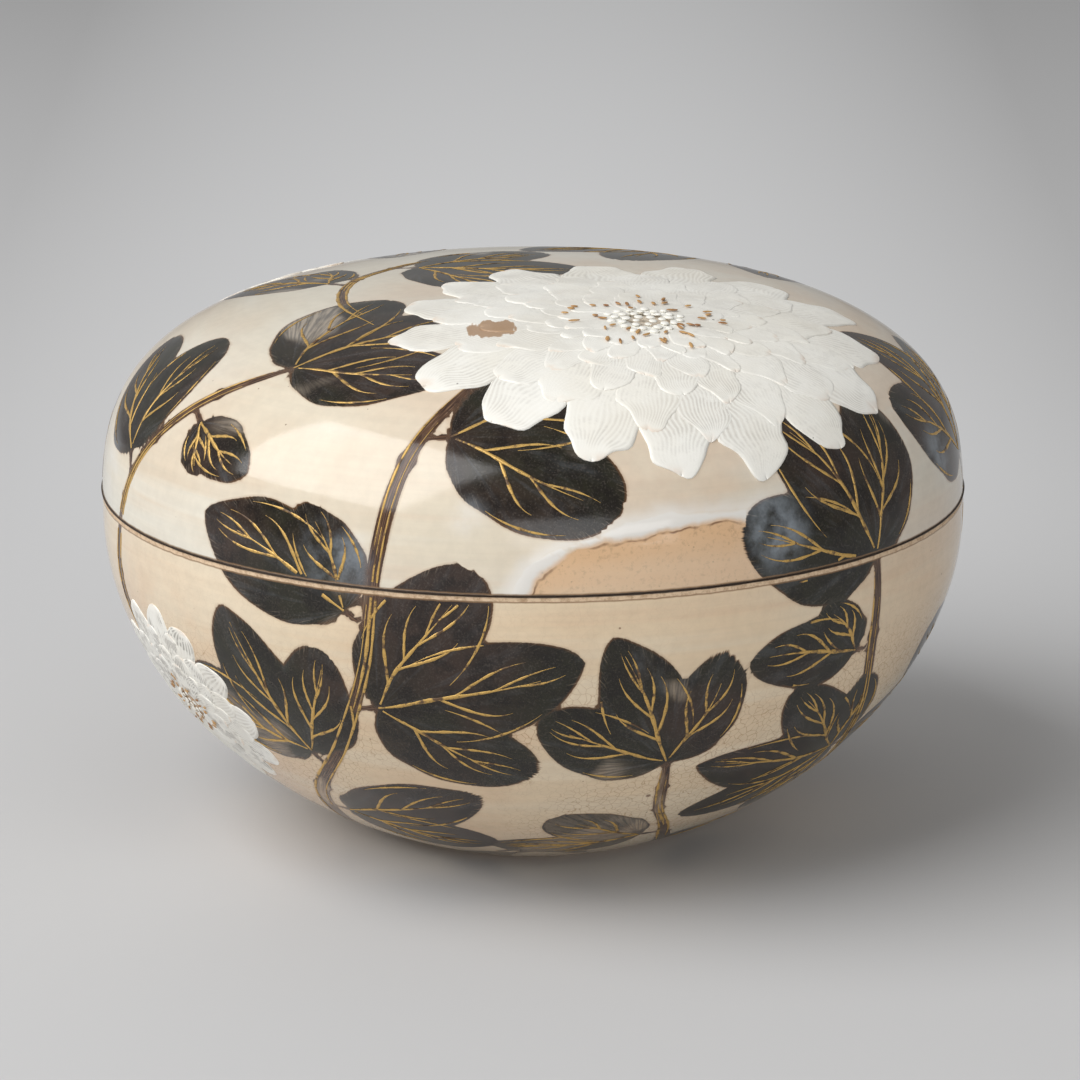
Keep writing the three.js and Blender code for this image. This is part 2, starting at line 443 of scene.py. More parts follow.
# The painting. Azimuths and headings are in degrees, heading 0 to the viewer's right and 90 upwards.
large = {"petals": 16, "rounds": 6, "grooves": 15, "soot": 0.12}
small = {"petals": 12, "rounds": 4, "grooves": 9, "soot": 0.7}
onLid = {**small, "body": "lid", "soot": 0.8}
onBowl = {**small, "body": "bowl", "height": form["belly"] - 0.036}
flowers = {
    "lid_flower_large": {**onLid, **large, "height": form["top"] - 0.002, "azimuth": 302, "radius": 0.066},
    "lid_flower_small": {**onLid, "height": form["top"] - 0.019, "azimuth": 140, "radius": 0.034},
    "bowl_flower_left": {**onBowl, "azimuth": 212, "radius": 0.030},
    "bowl_flower_back": {**onBowl, "azimuth": 58, "radius": 0.031},
}

# A spray is a brush stem of some width through places (azimuth, run), with leaves: share of the way along
# it, turn away from it, length, form, and tone from 0, thick ink, to 1, a thin grey wash. In millimetres.
sprays = [
    {"width": 5.2,
     "path": [(222, 238), (232, 208), (243, 182), (249, 156), (251, 130), (254, 104), (262, 78)],
     "leaves": [(0.13, -70, 44, "twin", 0.25), (0.27, 58, 43, "broad", 0.1),
                (0.42, -58, 51, "broad", 0.1), (0.56, 66, 45, "single", 0.25), (0.86, -58, 52, "twin", 0.2)]},
    {"width": 5, "path": [(342, 240), (334, 214), (325, 188), (319, 162), (318, 138)],
     "leaves": [(0, 68, 34, "single", 0.3), (0.42, 58, 49, "five", 0.1), (0.76, 66, 33, "single", 0.2),
                (1, 24, 50, "broad", 0.2)]},
    {"width": 4.2, "path": [(304, 240), (297, 224), (291, 206), (289, 186)],
     "leaves": [(0.3, 66, 36, "twin", 0.6), (1, 14, 41, "broad", 0.15)]},
    {"width": 3, "wash": 1, "path": [(283, 243), (275, 238), (268, 236), (262, 238)],
     "leaves": [(0.5, 50, 26, "blade", 0.85)]},
    {"width": 4.4, "path": [(206, 172), (202, 152), (205, 128), (214, 104), (226, 84)],
     "leaves": [(0.54, 62, 44, "twin", 0.2), (0.77, -76, 25, "single", 0.4),
                (1, 16, 52, "broad", 0.2)]},
    {"width": 4.6, "path": [(16, 236), (6, 206), (358, 176), (354, 148), (349, 126)],
     "leaves": [(0.16, -62, 46, "twin", 0.15), (0.38, 62, 50, "twin", 0.2),
                (0.6, -62, 46, "single", 0.2), (1, -14, 46, "broad", 0.2)]},
    {"width": 4.8, "path": [(166, 238), (172, 208), (170, 178), (176, 150)],
     "leaves": [(0.1, 62, 38, "twin", 0.2), (0.4, -60, 45, "broad", 0.1), (0.66, 62, 45, "broad", 0.15),
                (1, -6, 38, "single", 0.2)]},
    {"width": 5, "path": [(92, 238), (98, 206), (94, 174), (98, 144), (104, 116), (112, 92)],
     "leaves": [(0.14, 60, 45, "broad", 0.1), (0.26, -62, 38, "twin", 0.2),
                (0.46, 62, 46, "five", 0.15), (0.64, -50, 38, "broad", 0.2), (0.8, 56, 40, "single", 0.25),
                (1, -12, 44, "twin", 0.3)]},
    {"width": 4.4, "path": [(24, 190), (30, 168), (36, 146), (40, 120), (48, 96), (60, 76)],
     "leaves": [(0.5, -60, 45, "broad", 0.15), (0.76, 62, 42, "single", 0.2),
                (1, 8, 46, "broad", 0.25)]},
    {"width": 3.6, "wash": 1, "path": [(140, 240), (144, 214), (140, 188), (134, 172)],
     "leaves": [(0.75, -36, 38, "blade", 0.8)]},
    {"width": 3.6, "path": [(228, 56), (204, 51), (178, 46), (150, 40), (132, 38)],
     "leaves": [(0.48, 60, 38, "single", 0.35), (0.72, -58, 44, "broad", 0.2)]},
]

# Leaf lobes: heading in degrees, reach, half-width and sideways curl as shares of the leaf, then how full the
# base and how pointed the tip is.
leafForms = {
    "broad": [(0, 1.0, 0.275, 0.06, 0.56, 0.72), (52, 0.86, 0.265, -0.14, 0.56, 0.54),
              (-50, 0.80, 0.255, 0.15, 0.56, 0.58)],
    "twin": [(24, 1.0, 0.265, -0.12, 0.56, 0.62), (-34, 0.84, 0.275, 0.12, 0.55, 0.52)],
    "single": [(0, 1.0, 0.30, 0.13, 0.55, 0.70), (-46, 0.58, 0.20, 0.22, 0.56, 0.54)],
    "five": [(0, 1.0, 0.21, 0.05, 0.58, 0.74), (40, 0.88, 0.20, -0.10, 0.58, 0.62),
             (-40, 0.86, 0.20, 0.10, 0.58, 0.62), (84, 0.58, 0.18, -0.16, 0.56, 0.56),
             (-82, 0.56, 0.18, 0.16, 0.56, 0.56)],
    "blade": [(0, 1.0, 0.17, 0.16, 0.58, 0.95)],
}


# Half-width along a lobe, 1 where it is widest.
def lobeShape(share, base, tip):
    peak = base / (base + tip)
    top = peak**base * (1 - peak) ** tip
    return np.maximum(share, 0) ** base * np.maximum(1 - share, 0) ** tip / top


def rotated(x, y, angle):
    c, s = math.cos(angle), math.sin(angle)
    return x * c - y * s, x * s + y * c


# Flat leaf coordinates to and from the ones along (u) and across (v) a curled lobe.
def intoLobe(x, y, lobe, length):
    heading, reach, _, curl = lobe[:4]
    u, v = rotated(x, y, -math.radians(heading))
    return u, v - curl * u * np.abs(u) / (reach * length)


def outOfLobe(u, v, lobe, length):
    heading, reach, _, curl = lobe[:4]
    return rotated(u, v + curl * u * np.abs(u) / (reach * length), math.radians(heading))


# Signed distance to a leaf that grows from (0, 0) along x, negative inside.
def leafDistance(x, y, leaf):
    length, blend = leaf["length"], 0.0009
    result = np.full(x.shape, 1.0)
    for lobe in leafForms[leaf["form"]]:
        _, reach, half, _, base, tip = lobe
        u, v = intoLobe(x, y, lobe, length)
        share = u / (reach * length)
        held = np.clip(share, 0.004, 0.996)
        swell = lobeShape(held, base, tip)
        width = half * length * swell
        slope = half / reach * swell * (base / held - tip / (1 - held))
        beyond = np.maximum(share - 1, -share) * reach * length
        distance = np.where(beyond > 0, np.hypot(beyond, v), (np.abs(v) - width) / np.sqrt(1 + slope**2))
        h = np.clip(0.5 + 0.5 * (result - distance) / blend, 0, 1)
        result = result * (1 - h) + distance * h - blend * h * (1 - h)
    around = np.arctan2(y, x)
    sway = 0.00035 * np.sin(7 * around + leaf["sway"]) + 0.0002 * np.sin(17 * around + 3 * leaf["sway"])
    return result + sway


def headingBetween(start, end):
    place = placeAt(start)
    flat = flatten(*ontoWall(np.array([end], float)), place)[0]
    return math.atan2(flat[1], flat[0])


# A smooth path on the wall through places (azimuth, run in mm).
def pathOnWall(places, steps=14):
    points = np.array([onWallAt(azimuth, run / 1000) for azimuth, run in places])
    points = np.concatenate([[2 * points[0] - points[1]], points, [2 * points[-1] - points[-2]]])
    t = np.linspace(0, 1, steps, endpoint=False)[:, None]
    spans = []
    for i in range(1, len(points) - 2):
        a, b, c, d = points[i - 1 : i + 3]
        bent = (2 * a - 5 * b + 4 * c - d) * t**2 + (3 * b - a - 3 * c + d) * t**3
        spans.append(0.5 * (2 * b + (c - a) * t + bent))
    return ontoWall(np.concatenate(spans + [points[-2:-1]]))[0]


# A leaf is laid out flat round its middle, so that it bends on to the wall with the least stretch.
def makeLeaf(base, heading, length, shape, tone, number):
    half = [[math.cos(heading) * length / 2, math.sin(heading) * length / 2]]
    place = placeAt(bend(half, placeAt(base))[0][0])
    back = flatten(*ontoWall(base[None]), place)[0]
    return {
        "place": place, "base": back, "heading": math.atan2(-back[1], -back[0]),
        "length": length, "form": shape, "tone": tone, "sway": number * 2.4,
    }


twig = {"length": 0.007, "endLength": 0.001, "width": 0.0026}


def layOut():
    stems, leaves = [], []
    for spray in sprays:
        curve = pathOnWall(spray["path"])
        wash = spray.get("wash", 0)
        stems.append({"points": curve, "width": spray["width"] / 1000, "twig": False, "wash": wash})
        for share, turn, length, shape, tone in spray["leaves"]:
            at = min(int(share * (len(curve) - 1)), len(curve) - 2)
            heading = headingBetween(curve[at], curve[at + 1]) + math.radians(turn)
            start = placeAt(curve[at] if share < 1 else curve[-1])
            stalk = twig["length"] if share < 1 else twig["endLength"]
            way = np.array([[math.cos(heading), math.sin(heading)]]) * stalk
            line = bend(way * np.array([[0.0], [0.5], [1.0]]), start)[0]
            stems.append({"points": line, "width": twig["width"], "twig": True, "wash": wash})
            leaves.append(makeLeaf(line[2], heading, length / 1000, shape, tone, len(leaves)))
    return stems, leaves


stems, leaves = layOut()
print("stage: painting laid out,", len(leaves), "leaves,", len(stems), "stems")


# Distance to a path's middle line, the run along it, the signed way across, and the path's length.
def pathDistance(points, path):
    run = runAlong(path)
    best = np.full(len(points), 1.0)
    along, across = np.zeros(len(points)), np.zeros(len(points))
    for i in range(len(path) - 1):
        step = path[i + 1] - path[i]
        t = np.clip((points - path[i]) @ step / (step @ step), 0, 1)
        away = points - path[i] - np.outer(t, step)
        distance = lengths(away)
        side = np.sign(np.cross(step, away) @ (path[i] - (0, 0, form["belly"] - 0.02)))
        closer = distance < best
        best = np.where(closer, distance, best)
        along = np.where(closer, run[i] + t * np.linalg.norm(step), along)
        across = np.where(closer, distance * side, across)
    return best, along, across, run[-1]


def strokeDistance(points, stroke):
    best, along, across, total = pathDistance(points, stroke["points"])
    share = along / total
    half = stroke["width"] / 2 * (0.78 + 0.22 * np.sin(share * 9 + 1)) * (1 - 0.35 * share)
    knots = 0.0007 * np.exp(-(((share * 5 + 0.4) % 1 - 0.5) / 0.05) ** 2) * (not stroke["twig"])
    return best - half - knots, along, across


# The run of thick milky glaze on the lid's front, which stopped above a bare-toned patch at the seam, and the
# milky clouds where the glaze pooled over the ink: azimuth, run in mm, radius, strength.
milk = {
    "path": [(268, 138), (270, 131), (276, 125), (287, 121), (299, 121.5), (304, 126)],
    "width": 0.0046,
    "rise": 0.00022,  # of the run above the wall
    "patchEnd": 305,  # azimuth where the bare-toned patch ends
    "clouds": [(301, 126, 0.013, 0.9), (246, 131, 0.012, 0.75), (337, 120, 0.011, 0.7),
               (262, 119, 0.007, 0.5), (196, 128, 0.012, 0.7), (102, 130, 0.012, 0.7),
               (48, 130, 0.012, 0.7), (350, 131, 0.010, 0.6), (171, 131, 0.010, 0.6)],
}


# The ink at each point: distance to it, the brush's own coordinates, and how thin, dry and woody it is.
def inkValues(points, on, normals, outside):
    count = len(points)
    ink, tone, tip, woody = np.full(count, 0.02), np.zeros(count), np.zeros(count), np.zeros(count)
    brush = np.zeros((count, 3))
    for number, leaf in enumerate(leaves):
        place, length = leaf["place"], leaf["length"]
        near = outside & (lengths(points - place["centre"]) < length * 0.95)
        picked = np.nonzero(near & (normals @ place["normal"] > 0.1))[0]
        if not len(picked):
            continue
        away = flatten(on[picked], normals[picked], place) - leaf["base"]
        x, y = rotated(away[:, 0], away[:, 1], -leaf["heading"])
        distance = leafDistance(x, y, leaf)
        closer = distance < ink[picked]
        chosen, x, y = picked[closer], x[closer], y[closer]
        ink[chosen] = distance[closer]
        around = np.arctan2(y, x) * length * 0.45
        brush[chosen] = np.stack([np.hypot(x, y), around, np.full(len(chosen), number * 0.037)], 1)
        tone[chosen], woody[chosen], tip[chosen] = leaf["tone"], 0, 0
        for lobe in leafForms[leaf["form"]]:
            tipX, tipY = outOfLobe(lobe[1] * length, 0, lobe, length)
            dry = 0.05 + 0.95 * ((number * 7 + lobe[0]) % 4 == 0)
            near = 1 - smooth(0.001, 0.007, np.hypot(x - tipX, y - tipY))
            tip[chosen] = np.maximum(tip[chosen], dry * near)
    for number, stem in enumerate(stems):
        middle = stem["points"].mean(0)
        reach = lengths(stem["points"] - middle).max() + 0.012
        picked = np.nonzero(outside & (lengths(points - middle) < reach))[0]
        if not len(picked):
            continue
        distance, along, across = strokeDistance(on[picked], stem)
        closer = distance < ink[picked]
        chosen = picked[closer]
        ink[chosen] = distance[closer]
        layer = np.full(len(chosen), 0.9 + number * 0.053)
        brush[chosen] = np.stack([along[closer], across[closer], layer], 1)
        tone[chosen], woody[chosen], tip[chosen] = (0.85, 0, 0) if stem["wash"] else (0.3, 1, 0)
    shares = {"inkTone": tone, "inkTip": tip, "inkWoody": woody}
    return {"inkDistance": ink * 1000, "brush": brush * 1000, **shares}


# The milky run's edge, the depth of the bare-toned patch under it, and the clouds.
def milkValues(on, outside):
    path = pathOnWall(milk["path"])
    best, along, across, total = pathDistance(on, path)
    swell = milk["width"] / 2 * (0.72 + 0.28 * np.sin(along * 190 + 0.8))
    swell *= smooth(-0.1, 0.12, 1 - along / total)
    above = outside & (on[:, 2] > form["seam"])
    ridge = np.where(above, best - swell, 0.02)
    azimuth = np.degrees(np.arctan2(on[:, 1], on[:, 0])) % 360
    pathAzimuth = np.degrees(np.arctan2(path[:, 1], path[:, 0])) % 360
    below = np.interp(azimuth, pathAzimuth, path[:, 2]) - on[:, 2]
    perDegree = math.radians(1) * form["radius"]
    below = np.minimum(below, (azimuth - milk["path"][0][0]) * perDegree)
    below = np.minimum(below, (milk["patchEnd"] - azimuth) * perDegree)
    cloud = np.zeros(len(on))
    for place, run, radius, strength in milk["clouds"]:
        away = lengths(on - onWallAt(place, run / 1000))
        cloud = np.maximum(cloud, np.where(outside, strength * (1 - smooth(0.15, 1, away / radius)), 0))
    patch = np.where(above, below, -0.02)
    return {"milkDistance": ridge * 1000, "patchDepth": patch * 1000, "milkCloud": cloud}


def flowerPlace(flower):
    run = np.interp(-flower["height"], -fineProfile[:, 1], fineRun)
    return placeAt(onWallAt(flower["azimuth"], run))


# The flush of the clay round the flowers.
def flushValues(on, outside):
    flush = np.zeros(len(on))
    for flower in flowers.values():
        away = lengths(on - flowerPlace(flower)["centre"]) - flower["radius"]
        flush = np.maximum(flush, np.where(outside, 1 - smooth(-0.004, 0.022, away), 0))
    return {"flush": flush}


# Gold lines: ribbons that follow strokes on the wall, with the stroke's own half-width and the wall's normal.
def ribbonTree():
    tree, given, result = geometryTree("brushed line", {"Strokes": "Geometry", "Sides": 6, "Thickness": 0.16})
    curve = put("GeometryNodeMeshToCurve", {"Mesh": given["Strokes"]})
    facing = {"Curve": curve, "Normal": pointValue(tree, "wallNormal", "FLOAT_VECTOR")}
    steady = put("GeometryNodeSetCurveNormal", facing, mode="FREE")
    circle = put("GeometryNodeCurvePrimitiveCircle", {"Resolution": given["Sides"], "Radius": 1.0})
    flatness = put("ShaderNodeCombineXYZ", {"X": given["Thickness"], "Y": 1.0, "Z": 1.0})
    section = put("GeometryNodeTransform", {"Geometry": circle, "Scale": flatness})
    width = pointValue(tree, "halfWidth")
    swept = {"Curve": steady, "Profile Curve": section, "Scale": width, "Fill Caps": True}
    return dress(tree, put("GeometryNodeCurveToMesh", swept), given, result)


# Half-widths of the strokes at their widest. Each swells to it from its start and tapers to its end.
goldLine = {
    "rib": 0.00058,
    "branch": 0.00044,
    "margin": 0.00035,
    "stem": 0.00042,
    "rise": 0.00004,
    "inset": 0.0012,  # of the lines along a leaf's margin
    "longLobe": 0.034,  # a lobe longer than this has a branch more on each side
    "aboveSeam": 0.0009,  # where a stroke over the seam stops on the lid, and on the bowl
    "belowSeam": 0.0021,
    "seed": 11,
}


def tapered(half, steps, start, full, end=0.14):
    s = np.linspace(0, 1, steps)
    rise = start + (1 - start) * smooth(0, full, s)
    fall = 1 - (1 - end) * smooth(full, 1, s) ** 1.3
    return half * rise * fall


# One lobe's veins: a rib, branches that leave it and follow the lobe's sides, and lines along its margins.
def lobeVeins(leaf, number, lobe, rng):
    length = leaf["length"]
    _, reach, half, _, base, tip = lobe
    size = reach * length
    strokes = []

    def halfAt(u):
        return half * length * lobeShape(np.clip(u / size, 0.001, 0.999), base, tip)

    def add(u, v, widest, start, full):
        strokes.append((outOfLobe(u, v, lobe, length), tapered(widest, len(u), start, full)))

    first = number == 0
    ribRun = np.linspace(0 if first else 0.03, rng.uniform(0.72, 0.9), 22) * size
    wave = 0.02 * length * np.sin(np.linspace(0, 3.4, len(ribRun)) + rng.uniform(0, 3))
    wave *= smooth(0, 0.3, ribRun / size)
    add(ribRun, wave, goldLine["rib"] * (1 if first else 0.85), 0.5, 0.3)
    branches, gap = (3, 0.19) if size > goldLine["longLobe"] else (2, 0.24)
    for side in (-1, 1):
        share = rng.uniform(0.16, 0.30)
        for k in range(branches):
            begin = share + gap * k
            end = min(begin + rng.uniform(0.30, 0.42), 0.90)
            if rng.random() < 0.08:
                continue
            s = np.linspace(0, 1, 16)
            u = (begin + (end - begin) * s) * size
            away = side * (0.62 - 0.22 * k) * halfAt(u) * np.sin(s * math.pi / 2 * 0.96) ** 1.1
            v = np.interp(begin * size, ribRun, wave) + away
            add(u, v, goldLine["branch"] * (1 - 0.15 * k), 0.75, 0.35)
    for side in (-1, 1):
        if rng.random() < 0.1:
            continue
        begin = rng.uniform(0.16, 0.40)
        u = np.linspace(begin, min(begin + rng.uniform(0.35, 0.6), 0.93), 18) * size
        add(u, side * (halfAt(u) - goldLine["inset"]), goldLine["margin"], 0.2, 0.5)
    return strokes


# Lines along a brush stem: offset as a share of its width, and where each starts and ends.
stemLines = ((0.30, 0.0, 0.62), (-0.28, 0.12, 0.9), (0.02, 0.4, 0.72), (0.3, 0.68, 0.97))


def goldStrokes(rng):
    strokes = []
    for leaf in leaves:
        if leaf["tone"] > 0.7:
            continue
        for number, lobe in enumerate(leafForms[leaf["form"]]):
            for (x, y), widths in lobeVeins(leaf, number, lobe, rng):
                outside = leafDistance(x, y, leaf) > -0.0007
                outside[:3] = False
                size = np.argmax(outside) if outside.any() else len(x)
                if size > 4:
                    flat = np.stack(rotated(x[:size], y[:size], leaf["heading"]), 1) + leaf["base"]
                    strokes.append((*bend(flat, leaf["place"]), widths[:size]))
    for stem in stems:
        if stem["twig"] or stem["wash"]:
            continue
        path, normals = ontoWall(stem["points"])
        across = np.cross(normals, np.gradient(path, axis=0))
        across /= lengths(across, True)
        steps = len(path)
        shrink = 1 - 0.35 * np.linspace(0, 1, steps)
        for offset, first, last in stemLines:
            sway = offset + 0.09 * np.sin(np.linspace(0, 9, steps) + offset * 20)
            a, b = int(first * steps), max(int(last * steps), 4)
            line, facing = ontoWall(path + across * (sway * stem["width"] * shrink)[:, None])
            widths = tapered(goldLine["stem"] * rng.uniform(0.8, 1.25), b - a, 0.3, 0.4, 0.2)
            strokes.append((line[a:b], facing[a:b], widths))
    return strokes


# The strokes' points, edges, normals and half-widths on one body, cut where they cross the seam.
def makeGold(body, strokes, tree, material):
    place, edges, facing, wide = [], [], [], []
    for points, normals, widths in strokes:
        above = points[:, 2] - form["seam"]
        mine = above > goldLine["aboveSeam"] if body == "lid" else above < -goldLine["belowSeam"]
        for run in np.split(np.arange(len(points)), np.flatnonzero(np.diff(mine)) + 1):
            if mine[run[0]] and len(run) > 2:
                first = len(place)
                edges.extend((first + k, first + k + 1) for k in range(len(run) - 1))
                place.extend(raised(points[run], normals[run], goldLine["rise"]))
                facing.extend(normals[run])
                wide.extend(widths[run])
    obj = meshObject(body + "_gold_lines", place, edges)
    setValues(obj.data, {"wallNormal": facing, "halfWidth": wide})
    grow(obj, tree, {}, material)
    finishMesh(obj.data)
    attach(obj, body)
    print("stage:", obj.name, len(obj.data.polygons), "faces")


def makeGoldLines(material):
    rng = np.random.default_rng(goldLine["seed"])
    strokes = goldStrokes(rng)
    uneven = [1 + 0.22 * np.sin(np.arange(len(w)) * 1.7 + rng.uniform(0, 6)) for _, _, w in strokes]
    strokes = [(points, normals, widths * by) for (points, normals, widths), by in zip(strokes, uneven)]
    tree = ribbonTree()
    for body in ("lid", "bowl"):
        makeGold(body, strokes, tree, material)


# Flowers of white slip: rounds of overlapping combed petals grown flat, then bent on to the wall.
petal = {
    "base": 0.26,  # where a petal starts, as a share of the way to its tip
    "reach": 0.985,  # of the longest tips, as a share of the flower's radius
    "halfWidth": 0.158,
    "thickness": 0.00037,
    "grooveDepth": 0.00010,
    "underside": -0.0002,
    "rows": 24,
    "shrink": 0.80,
    "lowest": 0.0001,
    "highest": 0.00056,
    "sway": 0.05,
    "uneven": 0.0010,  # how far the slip strayed sideways
}
largeRadius = flowers["lid_flower_large"]["radius"]


# A closed petal along x with its tip at 1. Columns stand on the crests and in the beds of the comb's grooves.
def petalMesh(name, flower):
    rows, columns = petal["rows"], 2 * flower["grooves"] + 1
    u = 1 - (1 - np.linspace(0, 1, rows)[:, None]) ** 1.7
    v = np.linspace(-1, 1, columns)[None, :]
    widest = petal["halfWidth"] * large["petals"] / flower["petals"]
    ending = np.sqrt(np.maximum(1 - np.clip((u - 0.56) / 0.44, 0, 1) ** 2.1, 0))
    half = widest * (0.26 + 0.74 * np.sin(np.minimum(u, 0.74) / 0.74 * math.pi / 2)) * ending
    dent = -0.012 * np.exp(-((v / 0.22) ** 2)) * (u > 0.8)
    x = petal["base"] + (1 - petal["base"]) * u + dent
    bed = (np.arange(columns) % 2)[None, :].astype(float)
    cut = bed * smooth(0.05, 0.2, u) * (1 - smooth(0.88, 0.98, u))
    crown = (0.5 + 0.5 * u) * (1 - np.abs(v) ** 6) ** 0.5 * (1 - np.clip((u - 0.90) / 0.10, 0, 1) ** 2) ** 0.5
    lip = 0.16 * smooth(0.5, 0.95, np.abs(v)) + 0.16 * smooth(0.7, 0.93, u)
    z = petal["thickness"] * crown * (0.8 + lip) - petal["grooveDepth"] * cut * crown
    top = np.stack([x, half * v, z], 2).reshape(-1, 3)
    bottom = top.copy()
    bottom[:, 2] = petal["underside"]
    faces = []
    for i in range(rows - 1):
        for a in range(i * columns, i * columns + columns - 1):
            faces.append((a, a + columns, a + columns + 1, a + 1))
    size = rows * columns
    rim = list(range(columns)) + list(range(2 * columns - 1, size, columns))
    rim += list(range(size - 2, size - columns - 1, -1)) + list(range(size - 2 * columns, 0, -columns))
    for k, a in enumerate(rim):
        after = (k + 1) % len(rim)
        faces.append((a, rim[after], size + after, size + k))
    faces.append(tuple(size + k for k in range(len(rim))))
    obj = meshObject(name, np.concatenate([top, bottom[rim]]), (), faces)
    cuts = np.concatenate([cut.reshape(-1), np.zeros(len(rim))])
    along = np.concatenate([(u + 0 * v).reshape(-1), np.ones(len(rim))])
    setValues(obj.data, {"cut": cuts, "along": along})
    return obj


def flowerTree():
    tree, given, result = geometryTree(
        "rounds of petals",
        {"Geometry": "Geometry", "Petal": "Object", "Petals": 16, "Rounds": 5, "Radius": 0.05, "Shrink": 0.8,
         "Lowest": 0.0, "Highest": 0.001, "Sway": 0.05, "Seed": 1},
    )
    petals, rounds = given["Petals"], given["Rounds"]

    def chance(low, high, seed):
        inputs = {2: low, 3: high, "Seed": given["Seed"] + seed}
        return put("FunctionNodeRandomValue", inputs, data_type="FLOAT")[1]

    line = put("GeometryNodeMeshLine", {"Count": petals * rounds, "Offset": (0, 0, 0)})
    index = put("GeometryNodeInputIndex", tree=tree)
    turn = (index / petals).maths("FLOOR")
    sway = chance(given["Sway"] * -1, given["Sway"], 0)
    heading = index * math.tau / petals + turn * math.pi / petals + sway
    rise = put("ShaderNodeMapRange", {0: turn / (rounds - 1), 3: given["Lowest"], 4: given["Highest"]})
    rise = rise + chance(-0.00006, 0.00006, 3)
    size = given["Shrink"].maths("POWER", turn) * given["Radius"]
    long, wide = size * chance(0.93, 1.0, 1), size * chance(0.90, 1.08, 2)
    place = put("ShaderNodeCombineXYZ", {"Z": rise})
    inputs = {
        "Points": put("GeometryNodeSetPosition", {"Geometry": line, "Position": place}),
        "Instance": put("GeometryNodeObjectInfo", {"Object": given["Petal"]})["Geometry"],
        "Rotation": put("ShaderNodeCombineXYZ", {"Z": heading}),
        "Scale": put("ShaderNodeCombineXYZ", {"X": long, "Y": wide, "Z": 1.0}),
    }
    placed = put("GeometryNodeInstanceOnPoints", inputs)
    tone = {"Geometry": placed, "Name": "tone", "Value": chance(0.0, 1.0, 4)}
    marked = put("GeometryNodeStoreNamedAttribute", tone, data_type="FLOAT", domain="INSTANCE")
    return dress(tree, marked, given, result)


# Slip that strayed a little sideways, the same at every height so that stacked petals stay apart.
def strayed(flat, seed, amount):
    x, y = flat[:, 0], flat[:, 1]
    dx = np.sin(x * 310 + 1.7 * seed) * np.cos(y * 270 + seed) + 0.5 * np.sin(y * 690 + 2.3 * seed)
    dy = np.sin(y * 290 + 2.9 * seed) * np.cos(x * 330 + 0.6 * seed) + 0.5 * np.sin(x * 640 + seed)
    return flat + amount * np.stack([dx, dy, 0 * dx], 1)


# Small flowers are lower and their marks finer.
def relief(flower):
    return (flower["radius"] / largeRadius) ** 0.5


# Bends a flat piece of a flower on to the wall.
def settle(obj, flat, flower):
    points, normals = bend(flat[:, :2], flowerPlace(flower))
    movePoints(obj.data, raised(points, normals, flat[:, 2] * relief(flower)))
    finishMesh(obj.data)
    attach(obj, flower["body"])


def makeFlower(name, flower, number, tree, material):
    unit = petalMesh(name + "_petal", flower)
    obj = meshObject(name + "_petals", [(0, 0, 0)])
    values = {"Petal": unit, "Radius": flower["radius"] * petal["reach"], "Seed": number * 7 + 3}
    values.update({label: flower[label.lower()] for label in ("Petals", "Rounds")})
    values.update({label: petal[label.lower()] for label in ("Shrink", "Lowest", "Highest", "Sway")})
    grow(obj, tree, values, material)
    bpy.data.objects.remove(unit)
    flat = strayed(pointsOf(obj.data), number + 1, petal["uneven"] * flower["radius"] / largeRadius)
    setValues(obj.data, {"soot": np.full(len(flat), flower["soot"])})
    settle(obj, flat, flower)
    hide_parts(name)
    print("stage:", obj.name, len(obj.data.polygons), "faces")


# The flower's eye: a low heap of small white beads with ochre dabs dropped among and round them.
eye = {
    "beadRadius": 0.0011,
    "beadHeight": 0.32,  # share of the bead's radius
    "dabLength": 0.0015,
    "dabWidth": 0.00042,
    "dabHeight": 0.00022,
    "height": 0.00085,
    "heap": 0.0003,
    "reach": 0.145,  # share of the flower's radius that the beads cover
    "dabReach": 0.30,
    "spacing": 1.45,  # between beads, in bead radii
    "dabs": 2.6,  # dabs for each petal
    "seed": 5,
}


# One small rounded lump for each point, with its own heading and size.
def lumpTree():
    tree, given, result = geometryTree("lumps", {"Points": "Geometry"})
    inputs = {
        "Points": given["Points"],
        "Instance": put("GeometryNodeMeshIcoSphere", {"Radius": 1.0, "Subdivisions": 2}, tree),
        "Rotation": put("ShaderNodeCombineXYZ", {"Z": pointValue(tree, "heading")}),
        "Scale": pointValue(tree, "size", "FLOAT_VECTOR"),
    }
    return dress(tree, put("GeometryNodeInstanceOnPoints", inputs), given, result)


def makeLumps(name, away, turn, heights, headings, sizes, flower, tree, material):
    obj = meshObject(name, np.stack([away * np.cos(turn), away * np.sin(turn), heights], 1))
    setValues(obj.data, {"heading": headings, "size": sizes})
    grow(obj, tree, {}, material)
    settle(obj, pointsOf(obj.data), flower)


